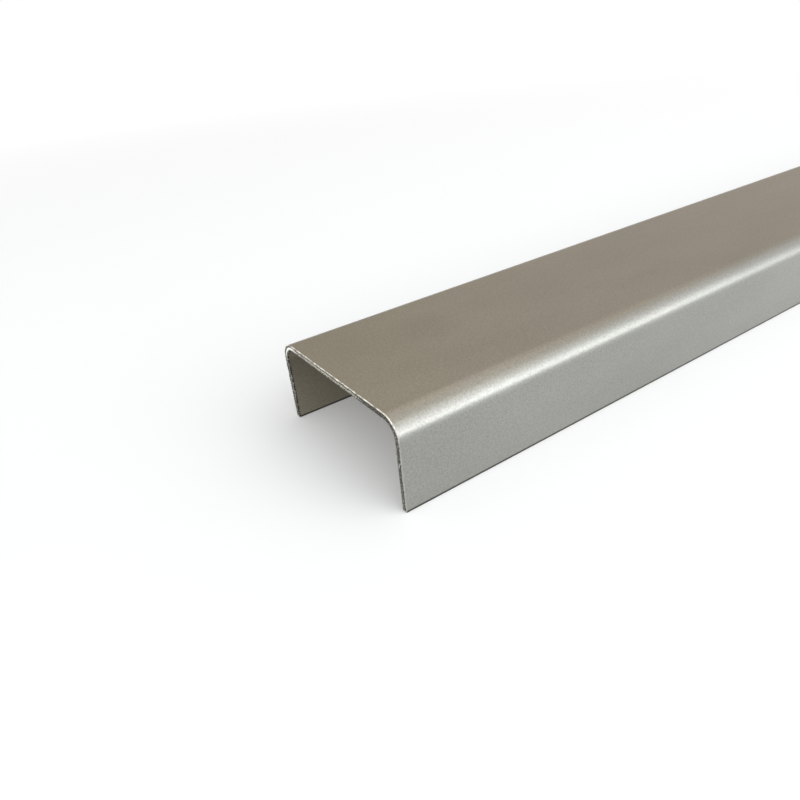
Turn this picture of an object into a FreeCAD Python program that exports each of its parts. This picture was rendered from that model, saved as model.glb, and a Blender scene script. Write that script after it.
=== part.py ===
import FreeCAD, Part
import math
import os

# Stainless steel u-channel: one strip of sheet folded along two lines and cut to a stock length.
# It lies as it rests, legs down and web on top. The length runs along Y, the width along X, and
# the origin is at the centre of its footprint. Sizes are in millimetres.

# Driving dimensions
width = 50.8            # outside, over the two legs
leg_height = 22.2       # outside, from the lips of the legs to the outer face of the web
thickness = 1.5         # of the sheet, the same in the web, the bends and the legs
inside_radius = 3.5     # of both bends
length = 609.6          # of the piece, between its two cut ends
edge_break = 0.2        # rounding left on the slit lips and on the cut ends

# Worked out from them
outside_radius = inside_radius + thickness
outer_face_x = width / 2
inner_face_x = outer_face_x - thickness
bend_centre_x = outer_face_x - outside_radius
bend_centre_z = leg_height - outside_radius
near_end_y = -length / 2

TOLERANCE = 1e-6


def at(x, z):
    """A point of the section, in the plane of the near end."""
    return FreeCAD.Vector(x, near_end_y, z)


def line(start, end):
    return Part.LineSegment(start, end).toShape()


def bend(side, radius):
    """The quarter turn from a leg's face into the web's face; side is 1 or -1."""
    slant = radius * math.cos(math.pi / 4)
    leg_point = at(side * (bend_centre_x + radius), bend_centre_z)
    middle = at(side * (bend_centre_x + slant), bend_centre_z + slant)
    web_point = at(side * bend_centre_x, bend_centre_z + radius)
    return Part.Arc(leg_point, middle, web_point).toShape()


def skin(face_x, radius):
    """One face of the folded sheet, lip to lip: down one leg, across the web, down the other."""
    web_z = bend_centre_z + radius
    return [
        line(at(face_x, 0), at(face_x, bend_centre_z)),
        bend(1, radius),
        line(at(bend_centre_x, web_z), at(-bend_centre_x, web_z)),
        bend(-1, radius),
        line(at(-face_x, bend_centre_z), at(-face_x, 0)),
    ]


def section():
    """The sheet's section: its outer skin and its inner skin, closed by the two lips."""
    lips = [line(at(side * outer_face_x, 0), at(side * inner_face_x, 0)) for side in (1, -1)]
    edges = skin(outer_face_x, outside_radius) + skin(inner_face_x, inside_radius) + lips
    return Part.Face(Part.Wire(Part.sortEdges(edges)[0]))


def left_by_cutting(edge):
    """True for an edge of a slit lip or of a cut end; the folds themselves leave none."""
    box = edge.BoundBox
    on_lip = box.ZMax < TOLERANCE
    on_cut_end = box.YLength < TOLERANCE
    return on_lip or on_cut_end


def u_channel():
    """The whole piece, with its cut edges broken."""
    folded = section().extrude(FreeCAD.Vector(0, length, 0))
    cut_edges = [edge for edge in folded.Edges if left_by_cutting(edge)]
    return folded.makeFillet(edge_break, cut_edges)


os.makedirs("parts", exist_ok=True)
u_channel().exportStep("parts/u_channel.step")
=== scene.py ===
import math

import bpy
from mathutils import Matrix, Vector, noise


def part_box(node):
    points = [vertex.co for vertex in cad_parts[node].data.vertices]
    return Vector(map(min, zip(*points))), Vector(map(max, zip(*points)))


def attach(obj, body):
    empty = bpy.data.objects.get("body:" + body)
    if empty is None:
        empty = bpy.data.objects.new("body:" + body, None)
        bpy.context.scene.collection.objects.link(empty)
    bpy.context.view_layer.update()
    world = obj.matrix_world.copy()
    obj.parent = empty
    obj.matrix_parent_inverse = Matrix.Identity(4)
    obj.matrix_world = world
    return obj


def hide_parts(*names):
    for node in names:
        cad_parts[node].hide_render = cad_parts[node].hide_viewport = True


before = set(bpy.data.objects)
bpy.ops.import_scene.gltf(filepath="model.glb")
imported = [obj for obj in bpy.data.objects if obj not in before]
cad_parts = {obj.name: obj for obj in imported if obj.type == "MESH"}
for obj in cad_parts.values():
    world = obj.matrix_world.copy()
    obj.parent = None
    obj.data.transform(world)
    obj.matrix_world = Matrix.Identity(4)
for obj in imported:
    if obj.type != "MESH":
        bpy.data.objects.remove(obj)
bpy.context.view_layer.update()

# The channel, in metres. Its outside sizes come from the part's box in model.glb.
NODE = "u_channel"
LOW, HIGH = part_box(NODE)
HALF_WIDTH = HIGH.x
HALF_LENGTH = HIGH.y
HEIGHT = HIGH.z
SHEET = 0.0015
INSIDE_RADIUS = 0.0035
OUTSIDE_RADIUS = INSIDE_RADIUS + SHEET
EDGE_BREAK = 0.0002

# The strip of sheet before folding: its half width, measured along its middle surface
MIDDLE_RADIUS = INSIDE_RADIUS + SHEET / 2
HALF_WEB = HALF_WIDTH - OUTSIDE_RADIUS
BEND = MIDDLE_RADIUS * math.pi / 2
LEG = HEIGHT - OUTSIDE_RADIUS
HALF_STRIP = HALF_WEB + BEND + LEG

# What cutting leaves at the two ends
BURR_REACH = 0.0006
BURR_HEIGHT = 0.00022
TORN_RELIEF = 0.00005
GROOVE_DEPTH = 0.00008
BURR_PROUD = 0.3        # how much of the burr's height also stands up off the outer skin

# Where the rows of points lie across a rounded edge, as shares of its radius
ROUND_SHARES = (0.0, 0.12, 0.35, 0.65, 1.0)

# A faint painted dark reflection on the web, near the end that shows
REFLECTION_SPOT = (-0.006, LOW.y + 0.0295, SHEET / 2)

# The camera, placed from the middle of the near end's footprint
CAMERA_OFFSET = Vector((0.11003, -0.05022, 0.08552))
CAMERA_AZIMUTH = 58.69
CAMERA_ELEVATION = 30.68
CAMERA_ROLL = -6.10
CAMERA_LENS = 28.09

# The lamps and the dome are placed by direction from the near end's web
NEAR_END = Vector((0, LOW.y, HIGH.z))
LAMP_DISTANCE = 2.5
DOME_RADIUS = 3.0
WORLD_FILL = 0.55       # the world's strength as light; where it is seen its strength is 1
SHADOW_LIFT = 0.2       # share of plain white in the floor beside the channel, where it is seen
FLOOR_REACH = 20.0
FLOOR_GAP = 0.00002     # keeps the floor just clear of the lips

# Colours of the metal
BLACK = (0.0, 0.0, 0.0, 1)
OUTSIDE_PALE = (0.382, 0.381, 0.359, 1)
OUTSIDE_DEEP = (0.360, 0.359, 0.337, 1)
INSIDE_SHADE = (0.315, 0.29, 0.23, 1)
SLIT = (0.07, 0.068, 0.055, 1)
SHEARED = (0.05, 0.047, 0.036, 1)
DULL_AND_RIM_SHADE = (0.05, 0.048, 0.038, 1)
PIT = (0.045, 0.043, 0.033, 1)
SPECK = (0.85, 0.83, 0.77, 1)
FAR_BEND_PALE = (0.95, 0.94, 0.89, 1)
BURR_HIGHLIGHT = (0.97, 0.96, 0.92, 1)


# ---------------------------------------------------------------- the folded sheet

def steps(half, edge, spacing):
    """Places from -half to half, about spacing apart, with extra ones on the rounded edges."""
    rounds = [edge * share for share in ROUND_SHARES]
    inner = half - edge
    count = max(2, round(2 * inner / spacing))
    middle = [-inner + 2 * inner * i / count for i in range(1, count)]
    return [-half + r for r in rounds] + middle + [half - r for r in reversed(rounds)]


def length_steps(half, edge):
    """Places along the length: close together at the cut ends, where the burr is, then wide."""
    places = [edge * share for share in ROUND_SHARES]
    step = 0.0002
    while places[-1] + step < half:
        places.append(places[-1] + step)
        step = min(step * 1.35, 0.008)
    return [-half + p for p in places] + [0.0] + [half - p for p in reversed(places)]


def rounded(point, halves, edge):
    """Moves a point of a box's surface onto the same box with its edges rounded."""
    core = Vector([max(-h + edge, min(h - edge, p)) for p, h in zip(point, halves)])
    out = point - core
    return core + out.normalized() * edge if out.length > 0 else point


def fold(strip):
    """Takes a point of the flat strip (across, along, through) to its place in the channel."""
    across, along, through = strip
    side = 1 if across >= 0 else -1
    reach = abs(across)
    radius = MIDDLE_RADIUS + through
    if reach <= HALF_WEB:
        x, z = reach, HEIGHT - SHEET / 2 + through
    elif reach <= HALF_WEB + BEND:
        turn = (reach - HALF_WEB) / MIDDLE_RADIUS
        x = HALF_WEB + radius * math.sin(turn)
        z = LEG + radius * math.cos(turn)
    else:
        x = HALF_WIDTH - SHEET / 2 + through
        z = LEG - (reach - HALF_WEB - BEND)
    return Vector((side * x, along, z))


def burr(strip):
    """What the shear leaves at a cut end: a ragged lip along the outer skin and a torn face."""
    across, along, through = strip
    from_end = HALF_LENGTH - abs(along)
    if from_end > BURR_REACH:
        return strip
    end = 1 if along >= 0 else -1
    fade = 1 - from_end / BURR_REACH
    depth = (SHEET / 2 - through) / SHEET
    torn = noise.noise(Vector((across * 2600, through * 2600, 17.0 * end))) * TORN_RELIEF
    ragged = max(0.0, 0.35 + noise.noise(Vector((across * 700, 3.1, 5.0 * end)))) * BURR_HEIGHT
    lip = ragged * max(0.0, 1 - depth / 0.22)
    groove = -GROOVE_DEPTH * math.exp(-((depth - 0.36) / 0.14) ** 2)
    out = fade * (torn + lip + groove)
    return Vector((across, along + end * out, through + BURR_PROUD * fade * lip))


def sheet_mesh():
    """The whole channel as one closed skin: a flat rounded strip, cut, burred and folded."""
    halves = (HALF_STRIP, HALF_LENGTH, SHEET / 2)
    lines = (
        steps(HALF_STRIP, EDGE_BREAK, 0.00035),
        length_steps(HALF_LENGTH, EDGE_BREAK),
        steps(SHEET / 2, EDGE_BREAK, 0.00018),
    )
    last = [len(line) - 1 for line in lines]
    strip_points, index = [], {}

    def corner(key):
        if key not in index:
            point = Vector([lines[axis][key[axis]] for axis in range(3)])
            index[key] = len(strip_points)
            strip_points.append(burr(rounded(point, halves, EDGE_BREAK)))
        return index[key]

    faces = []
    for axis in range(3):
        u, v = (axis + 1) % 3, (axis + 2) % 3
        for level in (0, last[axis]):
            for i in range(last[u]):
                for j in range(last[v]):
                    keys = []
                    for du, dv in ((0, 0), (1, 0), (1, 1), (0, 1)):
                        key = [0, 0, 0]
                        key[axis], key[u], key[v] = level, i + du, j + dv
                        keys.append(tuple(key))
                    if level == 0:
                        keys.reverse()
                    faces.append([corner(key) for key in keys])

    mesh = bpy.data.meshes.new(NODE + "_skin")
    mesh.from_pydata([fold(p) for p in strip_points], [], faces)
    strip = mesh.attributes.new("strip", "FLOAT_VECTOR", "POINT")
    strip.data.foreach_set("vector", [c for p in strip_points for c in p])
    mesh.polygons.foreach_set("use_smooth", [True] * len(faces))
    mesh.update()
    return mesh


# ---------------------------------------------------------------- materials

class Nodes:
    """A short way to write a material: each call adds a node and returns it."""

    def __init__(self, owner):
        owner.use_nodes = True
        self.tree = owner.node_tree
        self.tree.nodes.clear()

    def add(self, kind, inputs=None, **settings):
        node = self.tree.nodes.new("ShaderNode" + kind)
        for name, value in settings.items():
            setattr(node, name, value)
        for name, value in (inputs or {}).items():
            if isinstance(value, bpy.types.NodeSocket):
                self.tree.links.new(value, node.inputs[name])
            else:
                node.inputs[name].default_value = value
        return node

    def noise(self, vector, scale, detail=2.0, roughness=0.5):
        """Soft noise from 0 to 1 about a mean of a half; scale is in cells per unit."""
        inputs = {"Vector": vector, "Scale": scale, "Detail": detail, "Roughness": roughness}
        return self.add("TexNoise", inputs).outputs["Fac"]

    def spread(self, value, low, high, to_low=0.0, to_high=1.0):
        """Takes the range low..high of a value to to_low..to_high, and holds it there."""
        inputs = {"Value": value, "From Min": low, "From Max": high,
                  "To Min": to_low, "To Max": to_high}
        return self.add("MapRange", inputs).outputs["Result"]

    def stretch(self, vector, x, y, z):
        inputs = {0: vector, 1: (x, y, z)}
        return self.add("VectorMath", inputs, operation="MULTIPLY").outputs["Vector"]

    def math(self, operation, a, b=0.0):
        return self.add("Math", {0: a, 1: b}, operation=operation).outputs["Value"]

    def mix(self, share, a, b):
        inputs = {0: share, 6: a, 7: b}
        return self.add("Mix", inputs, data_type="RGBA").outputs[2]

    def ramp(self, value, stops):
        """A colour that runs through the stops, each a place from 0 to 1 and a colour."""
        node = self.add("ValToRGB", {"Fac": value})
        points = node.color_ramp.elements
        while len(points) < len(stops):
            points.new(0.5)
        for point, (place, colour) in zip(points, stops):
            point.position, point.color = place, colour
        return node.outputs["Color"]

    def seen(self):
        """1 where the camera, a reflection or a refraction looks, 0 for light on its way."""
        path = self.add("LightPath").outputs
        straight = self.math("MAXIMUM", path["Is Camera Ray"], path["Is Glossy Ray"])
        return self.math("MAXIMUM", straight, path["Is Transmission Ray"])

    def bump(self, height, distance, normal=None):
        inputs = {"Height": height, "Distance": distance, "Strength": 1.0}
        if normal is not None:
            inputs["Normal"] = normal
        return self.add("Bump", inputs).outputs["Normal"]


def stainless():
    """Satin mill finish on the skins, with painted shade on the inner skin and a painted dark
    reflection on the web; torn, duller metal on the cut ends and slit lips, with a painted
    highlight along the burr and painted shade at the cut's lower edge and inner rim.
    """
    material = bpy.data.materials.new("stainless_satin")
    n = Nodes(material)
    strip = n.add("Attribute", attribute_name="strip").outputs["Vector"]
    parts = n.add("SeparateXYZ", {"Vector": strip}).outputs
    across = n.math("ABSOLUTE", parts["X"])
    off_middle = n.math("ABSOLUTE", parts["Z"])
    from_end = n.math("SUBTRACT", HALF_LENGTH, n.math("ABSOLUTE", parts["Y"]))
    from_lip = n.math("SUBTRACT", HALF_STRIP, across)
    on_leg = n.spread(across, HALF_WEB + BEND * 0.3, HALF_WEB + BEND)

    # The satin skin: a fine even grain, faint rolling lines and slow changes of tone
    grain = n.noise(strip, 2400.0, 2.0)
    rolled = n.noise(n.stretch(strip, 1.0, 0.02, 1.0), 1500.0, 2.0)
    cloud = n.noise(n.stretch(strip, 1.0, 0.4, 1.0), 70.0, 3.0)
    clouded = n.mix(n.spread(cloud, 0.35, 0.65), OUTSIDE_PALE, OUTSIDE_DEEP)
    # A faint dark reflection painted into the web's colour, near the end that shows
    from_reflection_spot = n.add("VectorMath", {0: strip, 1: REFLECTION_SPOT}, operation="DISTANCE").outputs["Value"]
    painted_reflection = n.spread(from_reflection_spot, 0.010, 0.002, 0.0, 0.07)
    outside = n.mix(painted_reflection, clouded, BLACK)
    # The inner skin is painted darker and warmer than the outer one: painted shade for the
    # channel's shaded inside
    skin = n.mix(n.spread(parts["Z"], 0.0, -SHEET / 4), outside, INSIDE_SHADE)
    satin = n.mix(n.spread(grain, 0.3, 0.7, 0.0, 0.22), skin, BLACK)
    satin_rough = n.math("ADD", n.spread(rolled, 0.3, 0.7, 0.33, 0.35),
                         n.spread(grain, 0.3, 0.7, -0.02, 0.02))

    # The slit lips are darker along their edge
    lipped = n.mix(n.spread(from_lip, 0.00065, 0.00050), satin, SLIT)

    # The cut face: worn skin, dark sheared band, lighter torn ridge, and a dark lower edge and
    # inner rim that are painted shade
    wobble = n.spread(n.noise(n.stretch(strip, 1.0, 1.0, 0.0), 900.0, 3.0), 0.3, 0.7, -0.05, 0.05)
    depth = n.math("DIVIDE", n.math("SUBTRACT", SHEET / 2, parts["Z"]), SHEET)
    bands = n.ramp(n.math("ADD", depth, wobble), (
        (0.00, (0.42, 0.41, 0.36, 1)),
        (0.10, (0.22, 0.21, 0.18, 1)),
        (0.22, SHEARED),
        (0.40, SHEARED),
        (0.52, (0.48, 0.45, 0.37, 1)),
        (0.66, (0.44, 0.41, 0.34, 1)),
        (0.80, DULL_AND_RIM_SHADE),
    ))
    speck = n.noise(strip, 3600.0, 1.0, 0.6)
    bright = n.math("MULTIPLY", n.spread(speck, 0.55, 0.64), n.spread(on_leg, 0.0, 1.0, 0.55, 1.0))
    dark = n.spread(speck, 0.44, 0.34)
    torn = n.mix(dark, n.mix(bright, bands, SPECK), PIT)
    on_face = n.spread(off_middle, SHEET / 2 - EDGE_BREAK * 0.25, SHEET / 2 - EDGE_BREAK * 0.6)
    # The inner rounded edge at the cut is painted dark too: painted shade from the channel's
    # shaded inside
    inner_rim_shade = n.spread(parts["Z"], -SHEET * 0.25, -SHEET * 0.35)
    at_end = n.math("MULTIPLY", n.math("MAXIMUM", on_face, inner_rim_shade),
                    n.spread(from_end, 0.00055, 0.00025))

    # Along the cut the ridge is dull past the middle of the web and on the legs, and pale in the
    # far bend
    dull_far = n.spread(parts["X"], -HALF_WEB - BEND * 0.5, -HALF_WEB - BEND, 0.0, 1.0)
    dull_near = n.spread(parts["X"], 0.008, 0.013, 0.0, 0.92)
    dull = n.math("MULTIPLY", n.math("MAXIMUM", dull_far, dull_near), n.spread(depth, 0.15, 0.40))
    spared = n.spread(bright, 0.0, 1.0, 1.0, 0.3)
    dulled = n.mix(n.math("MULTIPLY", dull, spared), torn, DULL_AND_RIM_SHADE)
    off_far_bend = n.math("ABSOLUTE", n.math("ADD", parts["X"], HALF_WEB + BEND * 0.35))
    in_ridge = n.math("MULTIPLY", n.spread(depth, 0.38, 0.50), n.spread(depth, 0.85, 0.75))
    far_bend_pale = n.math("MULTIPLY", n.spread(off_far_bend, BEND * 0.75, BEND * 0.35), in_ridge)
    cut = n.mix(far_bend_pale, dulled, FAR_BEND_PALE)

    # A painted highlight along the burr at the top of the cut, patchy along it and weaker on the
    # legs
    near_end = n.spread(from_end, 0.00024, 0.00010)
    near_skin = n.spread(depth, 0.13, 0.05)
    patchy = n.spread(n.noise(n.stretch(strip, 1.0, 0.0, 0.0), 600.0, 3.0), 0.40, 0.56, 0.10, 1.0)
    shine = n.math("MULTIPLY", patchy, n.spread(on_leg, 0.0, 1.0, 1.0, 0.25))
    burr_highlight = n.math("MULTIPLY", n.math("MULTIPLY", near_end, near_skin), shine)

    colour = n.mix(burr_highlight, n.mix(at_end, lipped, cut), BURR_HIGHLIGHT)
    rough = n.math("ADD", satin_rough, n.math("MULTIPLY", at_end, 0.15))

    fine = n.bump(grain, 0.000008)
    lined = n.bump(rolled, 0.0000015, fine)
    ripped = n.bump(n.math("MULTIPLY", speck, at_end), 0.00005, lined)

    shader = n.add("BsdfPrincipled", {
        "Base Color": colour,
        "Metallic": 1.0,
        "Roughness": rough,
        "Normal": ripped,
    })
    n.add("OutputMaterial", {"Surface": shader.outputs["BSDF"]})
    return material


def floor_white():
    """White paper that takes the shadow, and runs out to plain white a little way off."""
    material = bpy.data.materials.new("floor_white")
    n = Nodes(material)
    paper = n.add("BsdfPrincipled", {"Base Color": (0.94, 0.94, 0.94, 1), "Roughness": 1.0})
    white = n.add("Emission", {"Color": (1, 1, 1, 1), "Strength": 1.0})
    place = n.add("NewGeometry").outputs["Position"]
    away = n.add("VectorMath", {0: place, 1: NEAR_END}, operation="DISTANCE").outputs["Value"]
    share = n.math("MULTIPLY", n.spread(away, 0.30, 0.90, SHADOW_LIFT, 1.0), n.seen())
    both = n.add("MixShader", {0: share, 1: paper.outputs["BSDF"], 2: white.outputs["Emission"]})
    n.add("OutputMaterial", {"Surface": both.outputs["Shader"]})
    return material


# ---------------------------------------------------------------- the set

def link(name, data):
    thing = bpy.data.objects.new(name, data)
    bpy.context.scene.collection.objects.link(thing)
    return thing


def direction(azimuth, elevation):
    """Unit vector; azimuth is counted from +Y towards +X, in degrees."""
    a, e = math.radians(azimuth), math.radians(elevation)
    return Vector((math.sin(a) * math.cos(e), math.cos(a) * math.cos(e), math.sin(e)))


def face_end(thing, azimuth, elevation, distance):
    """Puts a lamp out in a direction from the near end, facing it."""
    out = direction(azimuth, elevation)
    thing.location = NEAR_END + out * distance
    thing.rotation_euler = (-out).to_track_quat("-Z", "Y").to_euler()


def soft_box(name, azimuth, elevation, distance, half_angles, radiance):
    """A soft lamp whose half width and half height are given as angles seen from the near end."""
    lamp = bpy.data.lights.new(name, "AREA")
    lamp.shape = "RECTANGLE"
    lamp.size, lamp.size_y = [2 * distance * math.tan(math.radians(a)) for a in half_angles]
    lamp.energy = radiance * math.pi * lamp.size * lamp.size_y
    lamp.color = (0.97, 1.0, 1.01)
    thing = link(name, lamp)
    thing.visible_camera = False
    face_end(thing, azimuth, elevation, distance)
    return thing


def studio_dome(name, radius, tone):
    """Painted paper all round, that only the metal sees. tone(a, e) is its colour."""
    columns, rows = 120, 30
    points, tones = [], []
    for j in range(rows + 1):
        for i in range(columns):
            a, e = -180 + 360 * i / columns, 89.9 * j / rows
            points.append(NEAR_END + direction(a, e) * radius)
            tones.append(tone(a, e))
    faces = []
    for j in range(rows):
        for i in range(columns):
            k, right = j * columns, (i + 1) % columns
            faces.append((k + i, k + right, k + columns + right, k + columns + i))
    mesh = bpy.data.meshes.new(name)
    mesh.from_pydata(points, [], faces)
    mesh.attributes.new("tone", "FLOAT_COLOR", "POINT").data.foreach_set(
        "color", [c for t in tones for c in (*t, 1.0)])
    material = bpy.data.materials.new(name)
    n = Nodes(material)
    painted = n.add("Attribute", attribute_name="tone").outputs["Color"]
    shader = n.add("Emission", {"Color": painted, "Strength": 1.0})
    n.add("OutputMaterial", {"Surface": shader.outputs["Emission"]})
    mesh.materials.append(material)
    dome = link(name, mesh)
    dome.visible_camera = False
    dome.visible_diffuse = False
    dome.visible_shadow = False


def build_channel():
    piece = link("u_channel_sheet", sheet_mesh())
    piece.data.materials.append(stainless())
    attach(piece, "root")
    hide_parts(NODE)


def build_floor():
    mesh = bpy.data.meshes.new("floor")
    corners = ((-1, -1), (1, -1), (1, 1), (-1, 1))
    points = [(x * FLOOR_REACH, y * FLOOR_REACH, 0) for x, y in corners]
    mesh.from_pydata(points, [], [(0, 1, 2, 3)])
    mesh.materials.append(floor_white())
    floor = link("floor", mesh)
    floor.location.z = LOW.z - FLOOR_GAP


def build_world():
    """White wherever it is seen, directly or in the metal; the floor is lit by less of it."""
    world = bpy.data.worlds.new("studio")
    bpy.context.scene.world = world
    n = Nodes(world)
    strength = n.spread(n.seen(), 0.0, 1.0, WORLD_FILL, 1.0)
    background = n.add("Background", {"Color": (1, 1, 1, 1), "Strength": strength})
    n.add("OutputWorld", {"Surface": background.outputs["Background"]})


def smooth(value, start, end):
    share = max(0.0, min(1.0, (value - start) / (end - start)))
    return share * share * (3 - 2 * share)


def blend(share, a, b):
    return [p + share * (q - p) for p, q in zip(a, b)]


def studio_tone(azimuth, elevation):
    """White low down, warm white overhead, a warm grey wall facing the camera and a bright
    stretch for the far leg's bend."""
    grey = 0.55 + 0.06 * smooth(azimuth, -64, -44) + 0.017 * max(0, elevation - 21)
    wall = [grey * 1.03, grey * 0.90, grey * (0.72 + 0.05 * smooth(azimuth, -62, -40))]
    room = blend(smooth(elevation, 20, 60), (1, 1, 1), (1.16, 1.10, 0.97))
    bright = min(smooth(azimuth, -178, -160), smooth(azimuth, -108, -122),
                 smooth(elevation, 26, 12))
    room = blend(bright, room, (2.0, 2.06, 2.08))
    inside = min(smooth(azimuth, -125, -95), smooth(azimuth, 15, -15),
                 smooth(elevation, 66, 48), smooth(elevation, -4, 8))
    return blend(inside, room, wall)


def build_lights():
    soft_box("window_core", 58, 8, LAMP_DISTANCE, (29, 12), 0.98)
    soft_box("window_low", 58, 4, LAMP_DISTANCE, (29, 5), 0.7)
    soft_box("window_mid", 60, 14, LAMP_DISTANCE, (30, 18), 0.55)
    soft_box("window_wide", 58, 26, LAMP_DISTANCE, (32, 28), 0.36)
    soft_box("window_end", 70, 30, LAMP_DISTANCE, (20, 26), 0.62)
    side = soft_box("side_light", 88, 48, 2.2, (40, 35), 1.2)
    side.visible_glossy = False
    studio_dome("studio_dome", DOME_RADIUS, studio_tone)


def build_camera():
    data = bpy.data.cameras.new("camera")
    data.lens = CAMERA_LENS
    data.sensor_width = 36.0
    data.clip_start = 0.005
    data.clip_end = 100.0
    camera = link("camera", data)
    turn = Matrix.Rotation(math.radians(CAMERA_AZIMUTH), 4, "Z")
    tilt = Matrix.Rotation(math.radians(90 - CAMERA_ELEVATION), 4, "X")
    roll = Matrix.Rotation(math.radians(CAMERA_ROLL), 4, "Z")
    place = Vector((0, LOW.y, LOW.z)) + CAMERA_OFFSET
    camera.matrix_world = Matrix.Translation(place) @ turn @ tilt @ roll
    bpy.context.scene.camera = camera


build_camera()
build_channel()
build_floor()
build_world()
build_lights()

bpy.context.scene.view_settings.view_transform = "Standard"
